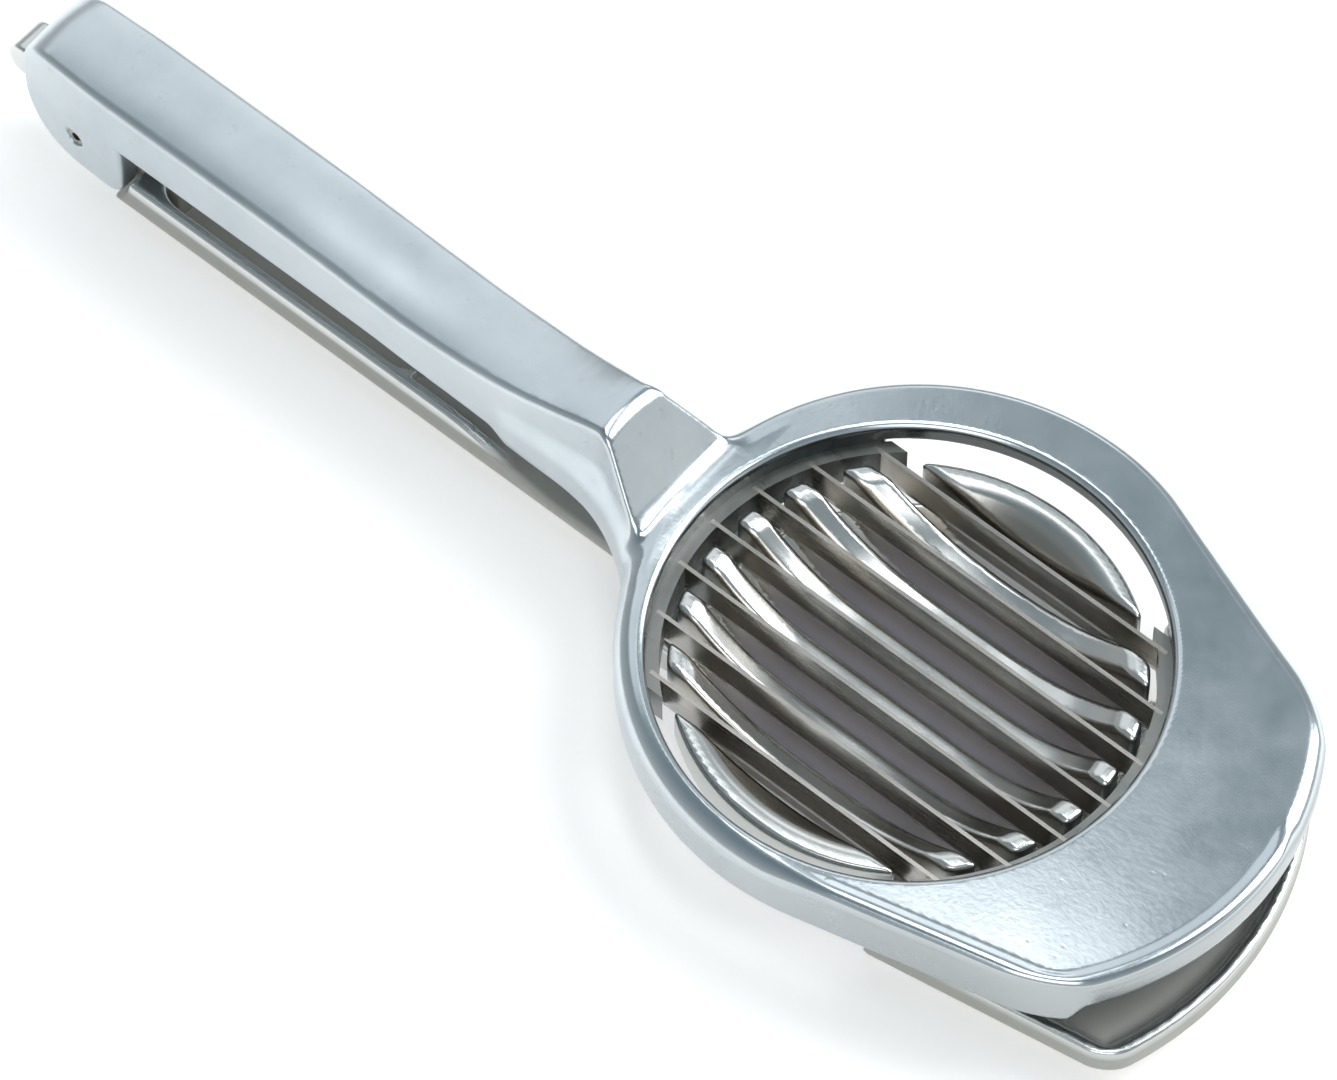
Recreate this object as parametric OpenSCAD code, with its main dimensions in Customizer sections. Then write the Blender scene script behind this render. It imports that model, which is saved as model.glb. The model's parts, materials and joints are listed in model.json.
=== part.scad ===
// Hand-held egg slicer: two cast arms on one hinge, seven blades in the upper
// arm that drop between the ribs of the lower dish. Millimetres, +Z up, the
// handle toward -X and the tip toward +X. The lower casting stands on z = 0.

/* [Overall] */
// Height of the upper ring's top face above the table
ring_top = 18; // [16:0.5:22]
// Distance from the middle of the row to the centre of the round opening
eye_x = 43.4; // [40:0.1:47]
// Distance from the opening's centre back to the hinge pin
pin_back = 124.5; // [110:0.5:140]
// Height of the hinge pin's axis above the table
pin_z = 10; // [9:0.5:12]

/* [Upper ring] */
// Diameter of the round opening
eye_d = 60; // [54:0.5:66]
// Outer radius of the ring on the handle side
ring_r = 37.6; // [35:0.1:40]
// How far the ring's outer circle sits toward the tip
ring_shift = 0.5; // [0:0.1:2]
// Radius of the curved tip edge
tip_r = 38.5; // [34:0.5:44]
// Centre of the tip curve, from the opening's centre
tip_cx = 11; // [6:0.5:16]
// Direction of the two corners seen from the tip curve's centre, degrees
tip_corner_a = 41.6; // [36:0.1:46]
// Radius of the two corners
corner_r = 4.5; // [4.2:0.1:6]
// Full depth of the ring with its skirt
ring_depth = 8; // [6:0.5:10]
// Depth of the skirt along the tip
tip_skirt = 5; // [4:0.5:8]
// Thickness of the top plate
plate_t = 3.2; // [2:0.1:4]
// Thickness of the skirt
skirt_t = 2.2; // [1.5:0.1:3]
// Thickness of the collar round the opening
collar_t = 2; // [1.5:0.1:3]
// Half the width of the stretch in which the collar holds the blades' ends
seat_half = 21.8; // [21.5:0.1:23]
// 45 degree break on the opening's top edge
eye_break = 0.8; // [0.3:0.1:1.5]

/* [Upper arm] */
// Back end of the arm, from the opening's centre
arm_end = 133; // [126:0.5:140]
// Half the arm's width where it is widest
arm_half = 6; // [5:0.1:8]
// Height of the arm's top at the hinge end
arm_top_back = 23.2; // [20:0.1:26]
// Height of the arm's top at its lowest, before the neck
arm_top_waist = 22; // [19:0.1:25]
// Height of the crest where the neck starts down
crest_z = 26.3; // [22:0.1:30]
// Place of the crest
crest_back = 41.8; // [38:0.1:46]
// Half the crest's width
crest_half = 4.4; // [3:0.1:6]
// Place of the foot of the neck's sloped face
neck_back = 34.7; // [33:0.1:38]
// Half the width of the neck's foot
neck_half = 8.5; // [7:0.1:11]
// Fillet between the arm and the ring, seen from above
flare_r = 12; // [8:0.5:16]
// How far the flare's top lies under the ring's top
flare_drop = 1.4; // [1:0.1:3]
// Lower edge of the arm's side walls
arm_wall_low = 13.7; // [12:0.1:16]
// Thickness of the arm's walls and top
arm_wall = 1.6; // [1.2:0.1:2.5]
// Where the arm starts to dip toward its waist
waist_start = 90; // [85:1:95]
// Back end of the waist
waist_back = 72; // [70:1:76]
// Front end of the waist, where the top starts to rise
waist_front = 64; // [62:1:66]
// Halfway up the rise to the crest
rise_mid = 56; // [54:1:58]
// Upper end of the rise
rise_end = 50; // [48:1:52]
// Front edge of the hinge cheeks
cheek_front = 117; // [114:0.5:120]
// Radius of the cheeks' front lower corner
cheek_r = 2.2; // [1:0.1:4]
// Radius of the cheeks' back lower corner
cheek_back_r = 9; // [6:0.5:9]
// Radius of the arm's back upper corner
heel_r = 5; // [3:0.5:7]
// Length of the slot between the cheeks
cheek_slot = 21; // [20:0.5:22]
// Lowest point of the hinge cheeks
cheek_low = 4.6; // [3:0.1:8]
// Width of the slot between the cheeks
cheek_gap = 6; // [5:0.1:7]
// Height of the slot's roof over the table
cheek_roof = 19; // [18:0.1:20]

/* [Lower arm] */
// Half the lower arm's width
low_half = 5.9; // [5:0.1:7]
// Height of the lower arm's walls
low_top = 8.4; // [7:0.1:10]
// Back end of the lower arm
low_back = 119; // [116:0.5:121]
// Radius of the rounded underside
low_round = 4; // [2:0.1:5]
// Thickness of the lower arm's walls
low_wall = 1.5; // [1.2:0.1:2.5]
// Front end of the deep pocket
pocket_front = 71; // [66:0.5:80]
// Back end of the deep pocket
pocket_back = 113.5; // [110:0.5:116]
// Floor of the deep pocket
pocket_floor = 2; // [1.5:0.1:4]
// Floor of the shallow pocket next to the neck
shallow_floor = 6.6; // [5:0.1:7.5]
// Height of the yoke that joins the arm to the dish
yoke_top = 5.5; // [4:0.1:7]
// Underside of the yoke
yoke_low = 0.6; // [0.3:0.1:1.5]
// Back end of the yoke, where it leaves the arm
yoke_back = 50; // [47:0.5:55]
// Place where the yoke starts to spread
yoke_neck = 37; // [36:0.5:42]
// Place where the yoke has its full width
yoke_front = 28; // [27:0.5:33]
// Inner end of the yoke under the dish
yoke_in = 21; // [18:0.5:22]
// Half the yoke's width at the dish
yoke_half = 12.5; // [10:0.5:20]
// Half the width of the bridge between the dish and the tray
bridge_half = 18.5; // [15:0.5:20]
// Width of the hinge tongue
tongue_w = 5.3; // [4.5:0.1:6]
// Radius of the tongue round the pin
boss_r = 4.4; // [3.5:0.1:5]
// End of the tail behind the hinge
tail_end = 138.2; // [134:0.1:142]
// Height of the tail's lower face
tail_low = 9.4; // [8:0.1:11]
// Height of the tail's upper face
tail_top = 14.6; // [13:0.1:16]
// Front end of the tongue's root inside the lower arm
tongue_root = 111; // [108:0.5:113]
// Room left round the cheeks as they swing
swing_gap = 0.5; // [0.3:0.1:1]

/* [Egg dish] */
// Outer radius of the dish
dish_r = 27.5; // [26:0.1:28]
// Height of the dish's rim
dish_rim = 15; // [14:0.1:16]
// Height of the dish at its middle
dish_mid = 9.2; // [7:0.1:11]
// Radius of the shallow spherical hollow
dish_sphere = 112; // [80:1:160]
// Width of the raised rim and rib ends
nub_w = 1.5; // [1:0.1:3]
// Run of the steep slope inside the rim
nub_run = 2; // [1:0.1:4]
// Lower end of the dish's upright outer wall
dish_wall_low = 9; // [7:0.1:11]
// Radius of the dish's underside where it turns flat
foot_r = 15; // [10:0.5:20]
// Radius of the underside halfway up
haunch_r = 22.5; // [18:0.5:25]
// Height of that turn
haunch_z = 3; // [2:0.1:5]
// Width of a rib
rib_w = 3; // [2.4:0.1:3.6]
// Floor of the slots between the ribs
slot_floor = 2.6; // [2:0.1:5]
// Floor of the two outermost slots, which carries the outer crescents
outer_floor = 5.4; // [4:0.1:7]

/* [Tip tray] */
// Place of the tray's tip, from the opening's centre
tray_tip = 51.4; // [48:0.1:54]
// Radius of the tray's curved tip edge
tray_r = 50; // [40:1:60]
// Direction of the tray's corners seen from that curve's centre
tray_corner_a = 25; // [20:0.5:30]
// Radius of the tray's two corners
tray_corner_r = 3.4; // [2:0.1:5]
// Place of the tray's horns, from the opening's centre
horn_x = 16.5; // [12:0.5:20]
// Half the tray's width at its horns
horn_y = 30.1; // [28:0.1:32]
// Inner radius of the tray
tray_in_r = 31; // [30:0.1:33]
// Height of the tray's underside
tray_low = 4.4; // [3:0.1:6]
// Height of the tray's top face
tray_top = 6.6; // [6:0.1:8]
// Height of the tray's raised rim
tray_rim = 7.8; // [7:0.1:8.5]
// Length of the bridge that ties the tray to the dish
bridge_run = 12; // [11:0.5:14]
// Width of the tray's raised rim
tray_rim_w = 1.5; // [1:0.1:3]

/* [Blades and pin] */
// Number of blades
blade_n = 7; // [7:1:7]
// Distance between blades
blade_pitch = 6.65; // [6:0.05:7.2]
// Thickness of a blade
blade_t = 0.5; // [0.4:0.05:0.8]
// Height of a blade
blade_h = 5.2; // [4:0.1:6]
// Height of the ground bevel at the cutting edge
blade_bevel = 1; // [0.5:0.1:2]
// Inner radius of the blade seats
band_in = 28.4; // [27.9:0.1:29]
// Depth of the blade seats' top below the upper ring's top
band_down = 3; // [2:0.1:4]
// How far the blades reach from the opening's centre
blade_reach = 29.4; // [28.8:0.1:29.7]
// Outer diameter of the rolled pin
pin_d = 2.5; // [2:0.1:4]
// Bore of the rolled pin
pin_bore = 1.2; // [0.8:0.1:2]
// Half the pin's length
pin_half = 5.5; // [5:0.1:6]
// Slit along the rolled pin
pin_slit = 0.3; // [0.2:0.1:0.6]
// Radial running clearance between the pin and the tongue
pin_clear = 0.05; // [0.02:0.01:0.1]

/* [Part] */
// Which piece to draw

/* [Hidden] */
$fn = 96;
eye_r = eye_d / 2;
ring_low = ring_top - ring_depth;
plate_low = ring_top - plate_t;
band_top = ring_top - band_down;
mid_blade = (blade_n - 1) / 2;
cast_alu = [0.80, 0.83, 0.85];
steel = [0.55, 0.54, 0.52];
// depth over which the ring's outer edge rounds off, and how far in it starts
roll_h = 3.2;
roll_w = 2.8;
plate_inset = 3.2;
// how far the neck's foot runs into the ring
neck_run = 2.5;
// where the channel inside the upper arm ends, behind the neck
hollow_end = 50;
arc_steps = 8;
tall = 60;
shift = 0.01;

// Points on an arc, used for rounded outlines
function arc(c, r, a0, a1) = [for (i = [0:arc_steps])
    [c[0] + r * cos(a0 + (a1 - a0) * i / arc_steps),
     c[1] + r * sin(a0 + (a1 - a0) * i / arc_steps)]];

// Corner centre and the direction in which the side line touches both circles
function corner_c(r) = [tip_cx + (tip_r - r) * cos(tip_corner_a), (tip_r - r) * sin(tip_corner_a)];
corner = corner_c(corner_r);
side_run = norm([corner[0] - ring_shift, corner[1]]);
side_a = atan2(corner[1], corner[0] - ring_shift) + acos((ring_r - corner_r) / side_run);
side_n = [cos(side_a), sin(side_a)];
side_from = [ring_shift + ring_r * side_n[0], ring_r * side_n[1]];
side_to = [corner[0] + corner_r * side_n[0], corner[1] + corner_r * side_n[1]];
side_len = norm(side_to - side_from);

// Outline of the ring's flat plate, which ends under the rolled edge
module plate_outline() {
    from = side_from - plate_inset * side_n;
    to = side_to - plate_inset * side_n;
    translate([ring_shift, 0]) circle(r = ring_r - plate_inset);
    polygon(concat([from, to], arc([tip_cx, 0], tip_r - plate_inset, tip_corner_a, -tip_corner_a),
        [[to[0], -to[1]], [from[0], -from[1]]]));
}

// Section of the ring's outer edge: u outward from the wall, v up from the table
function edge_section(u0, inner, low) = concat(
    [[u0 - inner, ring_top]],
    [for (i = [0:arc_steps]) [
        u0 - roll_w + roll_w * sin(90 * i / arc_steps),
        ring_top - roll_h + roll_h * cos(90 * i / arc_steps)]],
    [[u0, low], [u0 - skirt_t, low], [u0 - skirt_t, plate_low], [u0 - inner, plate_low]]);

module ring_edge() {
    wide = roll_w + 1;
    translate([ring_shift, 0, 0]) rotate([0, 0, side_a])
        rotate_extrude(angle = 360 - 2 * side_a) polygon(edge_section(ring_r, wide, ring_low));
    translate([tip_cx, 0, 0]) rotate([0, 0, -tip_corner_a])
        rotate_extrude(angle = 2 * tip_corner_a)
            polygon(edge_section(tip_r, wide, ring_top - tip_skirt));
    for (s = [0, 1]) mirror([0, s, 0]) {
        translate([side_from[0], side_from[1], 0]) rotate([0, 0, side_a - 90])
            rotate([90, 0, 90]) linear_extrude(side_len) polygon(edge_section(0, wide, ring_low));
        translate([corner[0], corner[1], 0]) rotate([0, 0, tip_corner_a])
            rotate_extrude(angle = side_a - tip_corner_a)
                polygon(edge_section(corner_r, corner_r, ring_low));
    }
}

// Side view of the upper arm with its cheeks, x from the opening's centre, z up
module arm_side() {
    foot = -neck_back;
    low_rise = ring_low + 2;
    polygon(concat(
        [[-crest_back, crest_z], [foot, ring_top + 0.8], [foot + neck_run, ring_top - 0.4],
         [foot + neck_run, ring_low], [-rise_end, ring_low + 0.6], [-waist_front + 4, low_rise],
         [-waist_back - 4, arm_wall_low - 0.2], [-cheek_front, arm_wall_low]],
        arc([-cheek_front - cheek_r, cheek_low + cheek_r], cheek_r, 0, -90),
        arc([-arm_end + cheek_back_r, cheek_low + cheek_back_r], cheek_back_r, -90, -180),
        arc([-arm_end + heel_r, arm_top_back - heel_r], heel_r, 180, 90),
        [[-waist_start, arm_top_back - 0.3], [-waist_back, arm_top_waist],
         [-waist_front, arm_top_waist + 0.1], [-rise_mid, arm_top_waist + 0.9],
         [-rise_end, arm_top_waist + 2.1], [-crest_back - 2, crest_z - 0.3]]));
}

// Plan view of the upper arm: narrower at the heel and at the crest, wide at the neck's foot
module arm_plan() {
    half = [[-arm_end, arm_half - 1.3], [-arm_end + 2.5, arm_half - 0.5], [-arm_end + 12, arm_half],
        [-waist_back, arm_half - 0.1], [-rise_mid, arm_half - 0.6], [-crest_back - 4.2, crest_half + 0.3],
        [-crest_back, crest_half], [-neck_back, neck_half], [-neck_back + neck_run + 0.5, neck_half]];
    last = len(half) - 1;
    polygon(concat(half, [for (i = [0:last]) [half[last - i][0], -half[last - i][1]]]));
}

// Flare where the arm's lower half runs into the ring, hollowed by two fillets
module arm_flare() {
    half = arm_half - 0.5;
    far_r = ring_r + flare_r;
    rise = half + flare_r;
    run = sqrt(far_r * far_r - rise * rise);
    start = ring_shift - run;
    touch = [ring_shift - ring_r * run / far_r, ring_r * rise / far_r];
    difference() {
        polygon([[start, half], touch, [-eye_r, touch[1]], [-eye_r, -touch[1]],
            [touch[0], -touch[1]], [start, -half]]);
        for (s = [1, -1]) translate([start, s * rise]) circle(r = flare_r);
    }
}

module upper_frame() {
    color(cast_alu) translate([eye_x, 0, 0]) difference() {
        union() {
            translate([0, 0, plate_low]) linear_extrude(plate_t) plate_outline();
            ring_edge();
            seat_band() translate([0, 0, ring_low]) rotate([0, 0, 90])
                cylinder(r = eye_r + collar_t, h = ring_depth);
            intersection() {
                rotate([90, 0, 0]) translate([0, 0, -tall / 2]) linear_extrude(tall) arm_side();
                linear_extrude(tall) arm_plan();
            }
            translate([0, 0, ring_low]) linear_extrude(ring_depth - flare_drop) arm_flare();
        }
        translate([0, 0, -1]) rotate([0, 0, 90]) cylinder(r = eye_r, h = tall);
        translate([0, 0, ring_top - eye_break]) rotate([0, 0, 90])
            cylinder(r1 = eye_r, r2 = eye_r + eye_break + 0.2, h = eye_break + 0.2);
        arm_hollow();
        translate([-arm_end - 1, -cheek_gap / 2, -1]) cube([cheek_slot + 1, cheek_gap, cheek_roof + 1]);
        translate([-pin_back, 0, pin_z]) rotate([90, 0, 0])
            translate([0, 0, -tall / 2]) cylinder(d = pin_d, h = tall, $fn = 48);
    }
}

// Keeps only the stretch of its children in which blades end
module seat_band() {
    intersection() {
        children();
        translate([-tall / 2, -seat_half, 0]) cube([tall, 2 * seat_half, tall]);
    }
}

// Inside of the upper arm's channel
module arm_hollow() {
    hollow_half = arm_half - arm_wall;
    back = -cheek_front + 2;
    waist_roof = arm_top_waist - arm_wall - 0.4;
    rotate([90, 0, 0]) translate([0, 0, -hollow_half]) linear_extrude(2 * hollow_half)
        polygon([[back, 0], [back, arm_top_back - arm_wall - 0.4],
            [-waist_start, arm_top_back - arm_wall - 0.7], [-waist_back, waist_roof],
            [-waist_front + 4, waist_roof], [-hollow_end, waist_roof + 0.5], [-hollow_end, ring_low - 2]]);
}

// Cross section of the lower arm, seen along the arm
module low_section() {
    polygon(concat([[low_half, low_top], [-low_half, low_top]],
        arc([-low_half + low_round, low_round], low_round, 180, 270),
        arc([low_half - low_round, low_round], low_round, 270, 360)));
}

module lower_arm() {
    swing_r = norm([pin_back - cheek_front - cheek_r, pin_z - cheek_low - cheek_r]) + cheek_r + swing_gap;
    arm_len = low_back - yoke_neck;
    difference() {
        intersection() {
            translate([-low_back, 0, 0]) rotate([90, 0, 90]) linear_extrude(arm_len) low_section();
            rotate([90, 0, 0]) translate([0, 0, -tall / 2]) linear_extrude(tall)
                polygon([[-low_back, 0], [-yoke_neck, 0], [-yoke_neck, yoke_top], [-yoke_back, yoke_top],
                    [-yoke_back - 12, low_top], [-low_back, low_top]]);
        }
        // room for the swinging cheeks
        translate([-pin_back, 0, pin_z]) rotate([90, 0, 0])
            translate([0, 0, -tall / 2]) cylinder(r = swing_r, h = tall);
        pocket();
    }
}

// Deep pocket with rounded ends and the shallow one in front of it
module pocket() {
    r = low_half - low_wall;
    for (x = [-pocket_back + r, -pocket_front - r]) translate([x, 0, pocket_floor])
        cylinder(r = r, h = tall);
    translate([-pocket_back + r, -r, pocket_floor]) cube([pocket_back - pocket_front - 2 * r, 2 * r, tall]);
    translate([-pocket_front - 1, -r, shallow_floor]) cube([pocket_front - yoke_back - 1, 2 * r, tall]);
}

// Hinge tongue with the tail that stops the arms from opening too far
module tongue() {
    tail_r = (tail_top - tail_low) / 2;
    tail_x = -tail_end + tail_r;
    neck = 8;
    rotate([90, 0, 0]) translate([0, 0, -tongue_w / 2]) difference() {
        linear_extrude(tongue_w) union() {
            translate([-pin_back, pin_z]) circle(r = boss_r);
            translate([tail_x, tail_low + tail_r]) circle(r = tail_r);
            translate([tail_x, tail_low]) square([-pin_back - tail_x, tail_top - tail_low - 0.2]);
            polygon([[-pin_back, pin_z - boss_r], [-pin_back + neck, 1], [-tongue_root, 0.2],
                [-tongue_root, low_top - 0.2], [-pin_back + neck, low_top + 0.4],
                [-pin_back + 2, pin_z + boss_r - 0.5], [-pin_back, pin_z]]);
        }
        translate([-pin_back, pin_z, -1]) cylinder(d = pin_d + 2 * pin_clear, h = tongue_w + 2, $fn = 48);
    }
}

// Plan of the yoke between the lower arm and the dish
module yoke_plan() {
    half = [[-yoke_back, low_half], [-yoke_neck, low_half],
        [-yoke_front, yoke_half], [-yoke_in, yoke_half]];
    last = len(half) - 1;
    polygon(concat(half, [for (i = [0:last]) [half[last - i][0], -half[last - i][1]]]));
}

// Solid dish before the slots are cut
module dish_body() {
    steep_r = dish_r - nub_w - nub_run;
    steep_z = dish_mid + dish_sphere - sqrt(dish_sphere * dish_sphere - steep_r * steep_r);
    difference() {
        union() {
            translate([0, 0, dish_wall_low]) cylinder(r = dish_r, h = dish_rim - dish_wall_low);
            translate([0, 0, haunch_z]) cylinder(r1 = haunch_r, r2 = dish_r, h = dish_wall_low - haunch_z);
            cylinder(r1 = foot_r, r2 = haunch_r, h = haunch_z);
        }
        translate([0, 0, dish_mid + dish_sphere]) sphere(r = dish_sphere, $fn = 128);
        translate([0, 0, steep_z - shift])
            cylinder(r1 = steep_r, r2 = dish_r - nub_w, h = dish_rim - steep_z + 2 * shift);
    }
}

module dish() {
    difference() {
        dish_body();
        slot_clear();
    }
}

// Tray outline, moved in by d
module tray_outline(d) {
    r = tray_corner_r;
    cx = tray_tip - tray_r;
    c = [cx + (tray_r - r) * cos(tray_corner_a), (tray_r - r) * sin(tray_corner_a)];
    a = 90 - atan((horn_y - c[1] - r) / (c[0] - horn_x));
    to = [c[0] + (r - d) * cos(a), c[1] + (r - d) * sin(a)];
    from = [horn_x, horn_y - d];
    past = 1.2 * tray_r;
    far_pt = [cx + past * cos(tray_corner_a), past * sin(tray_corner_a)];
    for (s = [1, -1]) translate([c[0], s * c[1]]) circle(r = r - d);
    intersection() {
        translate([cx, 0]) circle(r = tray_r - d);
        polygon([from, to, c, far_pt, [far_pt[0], -far_pt[1]], [c[0], -c[1]],
            [to[0], -to[1]], [from[0], -from[1]]]);
    }
}

module tray() {
    difference() {
        union() {
            translate([0, 0, tray_low]) linear_extrude(tray_top - tray_low) tray_outline(0);
            translate([0, 0, tray_low]) linear_extrude(tray_rim - tray_low) difference() {
                tray_outline(0);
                tray_outline(tray_rim_w);
            }
        }
        cylinder(r = tray_in_r, h = tall);
    }
    translate([tray_in_r - bridge_run + 2, -bridge_half, tray_low])
        cube([bridge_run, 2 * bridge_half, tray_top - tray_low]);
}

module lower_cradle() {
    color(cast_alu) translate([eye_x, 0, 0]) {
        lower_arm();
        tongue();
        difference() {
            union() {
                translate([0, 0, yoke_low]) linear_extrude(yoke_top - yoke_low) yoke_plan();
                tray();
            }
            slot_clear();
        }
        dish();
    }
}

// The seven slots the blades drop into
module slot_clear() {
    slot_w = blade_pitch - rib_w;
    last = blade_n - 1;
    for (i = [0:last]) {
        floor_z = (i == 0 || i == last) ? outer_floor : slot_floor;
        intersection() {
            translate([-tall / 2, (i - mid_blade) * blade_pitch - slot_w / 2, floor_z])
                cube([tall, slot_w, tall]);
            cylinder(r = dish_r + 0.5, h = tall);
        }
    }
}

// Curved seat for the blades' ends: side -1 at the handle, side 1 at the tip
module blade_seat(side) {
    color(steel) translate([eye_x, 0, 0]) seat_band() difference() {
        translate([0, 0, ring_low]) cylinder(r = eye_r, h = band_top - ring_low);
        cylinder(r = band_in, h = tall);
        for (i = [0:blade_n - 1])
            blade_blank((i - mid_blade) * blade_pitch);
        translate([side > 0 ? -tall : 0, -tall / 2, 0]) cube([tall, tall, tall]);
    }
}

// Plain strip as wide as a blade, used to cut its seats
module blade_blank(y) {
    run = sqrt(blade_reach * blade_reach - y * y);
    translate([-run, y - blade_t / 2, 0]) cube([2 * run, blade_t, tall]);
}

// Blade k of seven, counted from the far side (+Y) to the near side
module blade(k) {
    y = (mid_blade + 1 - k) * blade_pitch;
    run = sqrt(blade_reach * blade_reach - y * y);
    half = blade_t / 2;
    edge = 0.06;
    low = band_top - blade_h;
    color(steel) translate([eye_x - run, y, low]) rotate([90, 0, 90]) linear_extrude(2 * run)
        polygon([[-half, blade_h], [half, blade_h], [half, blade_bevel], [edge, 0],
            [-edge, 0], [-half, blade_bevel]]);
}

module hinge_pin() {
    color(steel) translate([eye_x - pin_back, 0, pin_z]) rotate([90, 0, 0])
        translate([0, 0, -pin_half]) difference() {
            cylinder(d = pin_d, h = 2 * pin_half, $fn = 48);
            translate([0, 0, -1]) cylinder(d = pin_bore, h = 2 * pin_half + 2, $fn = 32);
            translate([0, -pin_slit / 2, -1]) cube([pin_d, pin_slit, 2 * pin_half + 2]);
        }
}

lower_cradle();
upper_frame();
blade_seat(-1);  // blade_seat_back
blade_seat(1);  // blade_seat_tip
blade(1);  // blade_1
blade(2);  // blade_2
blade(3);  // blade_3
blade(4);  // blade_4
blade(5);  // blade_5
blade(6);  // blade_6
blade(7);  // blade_7
hinge_pin();
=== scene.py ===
"""Looks of the hand-held egg slicer: smooth cast arms, steel blades, soft studio light."""

import json
import math

import bpy
import numpy as np
from mathutils import Matrix, Vector


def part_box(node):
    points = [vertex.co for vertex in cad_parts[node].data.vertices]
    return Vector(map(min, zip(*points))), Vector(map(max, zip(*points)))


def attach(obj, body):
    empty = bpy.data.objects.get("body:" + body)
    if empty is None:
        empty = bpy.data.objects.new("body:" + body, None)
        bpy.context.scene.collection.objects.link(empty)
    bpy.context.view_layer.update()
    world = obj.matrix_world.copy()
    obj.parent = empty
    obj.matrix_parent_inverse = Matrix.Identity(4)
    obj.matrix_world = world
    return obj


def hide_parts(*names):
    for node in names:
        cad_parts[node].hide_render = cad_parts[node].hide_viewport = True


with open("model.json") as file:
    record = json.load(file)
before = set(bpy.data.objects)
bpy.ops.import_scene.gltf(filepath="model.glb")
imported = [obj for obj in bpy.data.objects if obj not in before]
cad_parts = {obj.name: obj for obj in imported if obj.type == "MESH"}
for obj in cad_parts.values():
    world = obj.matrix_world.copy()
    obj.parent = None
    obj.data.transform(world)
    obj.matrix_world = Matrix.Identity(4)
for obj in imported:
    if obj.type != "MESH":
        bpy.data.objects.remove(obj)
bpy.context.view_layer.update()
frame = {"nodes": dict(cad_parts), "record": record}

MM = 0.001

# ---------------------------------------------------------------- sizes, in millimetres
# x runs from the centre of the round opening toward the tip, y to the far side, z up from the table.
# A pair is a stretch from one place to another. _HALF is half a width, _ROUND the radius of a rounded
# edge, _FILLET the width of a filled inner corner.

# Places read from the CAD frame
seat_lo, seat_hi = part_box("blade_seat_back")[0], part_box("blade_seat_tip")[1]
hinge = frame["record"]["behaviour"]["joints"][0]["pos_m"]
SEAT_COVER = 3.0
EYE_X = (seat_lo[0] + seat_hi[0]) / 2 / MM
EYE_R = (seat_hi[0] - seat_lo[0]) / 2 / MM
SEAT_HALF = seat_hi[1] / MM
RING_LOW = seat_lo[2] / MM
RING_TOP = seat_hi[2] / MM + SEAT_COVER
PIN_X = hinge[0] / MM - EYE_X
PIN_Z = hinge[2] / MM

# Ring and tip plate, which lean to the far side of the opening
RING_R, RING_SHIFT = 35.4, 0.5
TIP_R, TIP_CX, TIP_ANGLE = 38.5, 11.0, math.radians(38.6)
CORNER_R = 3.4
LEAN_FROM, LEAN_TO = (10.0, 2.1), (42.0, 0.6)
CROWN_R, CROWN_MID = 1600.0, 5.0
CROWN_DIR, CROWN_RANGE = (-0.757, -0.653), (-50.0, 45.0)
PLATE, SKIRT, COLLAR = 3.2, 2.2, 2.0
SKIRT_ROUND, HOLLOW_ROUND, EYE_ROUND = 0.7, 0.5, 0.9
# The top edge is rounder toward the tip and on the near side of the handle's half.
EDGE_ROUND, EDGE_TIP_MORE, EDGE_NEAR_MORE = 1.4, 0.8, 1.4
EDGE_TIP_X, EDGE_NEAR_X, EDGE_NEAR_Y = (0.0, 30.0), (-5.0, 20.0), (-12.0, 8.0)
# The rolled bead along that edge sinks into the plate on the handle's half and on the far side.
BEAD_R, BEAD_IN, BEAD_DOWN, BEAD_FILLET = 1.1, 1.15, 0.85, 0.6
BEAD_SINK, BEAD_X, BEAD_Y = 2.2, (-6.0, 14.0), (6.0, 18.0)
# The skirt's lower edge is lifted round the tip, up to these angles before its corners.
TIP_LIFT, TIP_LIFT_ENDS = 3.0, (0.09, 0.02)

# Upper arm: lines of (x, height) and (x, half width)
ARM_TOP_LINE = [(-133, 23.2), (-90, 22.9), (-72, 22.0), (-64, 22.1), (-56, 22.9),
                (-50, 24.1), (-44, 25.9), (-40, 26.6), (-30, 27.5)]
ARM_LOW_LINE = [(-133, 13.7), (-90, 13.7), (-76, 13.5), (-60, 12.0), (-50, 10.6), (-34, 10.0)]
ARM_HALF_LINE = [(-133, 5.2), (-130, 5.6), (-120, 6.0), (-72, 5.9), (-58, 5.5),
                 (-49, 4.9), (-43, 4.5), (-41.8, 4.6), (-34.7, 8.3), (-30, 9.5)]
ARM_SOFT, ARM_HALF_SOFT = 3.0, 1.5
ARM_END, ARM_STOP = -133.0, -31.5
ARM_CROWN, ARM_ROUND = 0.021, 0.9
END_ROUND_Z, END_ROUND = (12.5, 17.5), (9.0, 5.0)
CREST_X, CREST_Z, CREST_ROUND = -41.8, 26.3, 1.1
FOOT_X, FOOT_Z = -34.7, 18.8
CHEEK_FRONT, CHEEK_LOW, CHEEK_ROUND = -117.0, 4.6, 2.2
CHANNEL_X, CHANNEL_HALF, CHANNEL_ROOF, CHANNEL_ROUND = (-115.0, -58.0), 4.4, 2.0, 1.0
FORK_FRONT, FORK_HALF, FORK_TOP = -111.0, 3.0, 19.0
INNER_EDGE_ROUND = 0.5
PIN_HOLE_R, PIN_HOLE_ROUND = 1.27, 0.25
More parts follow.
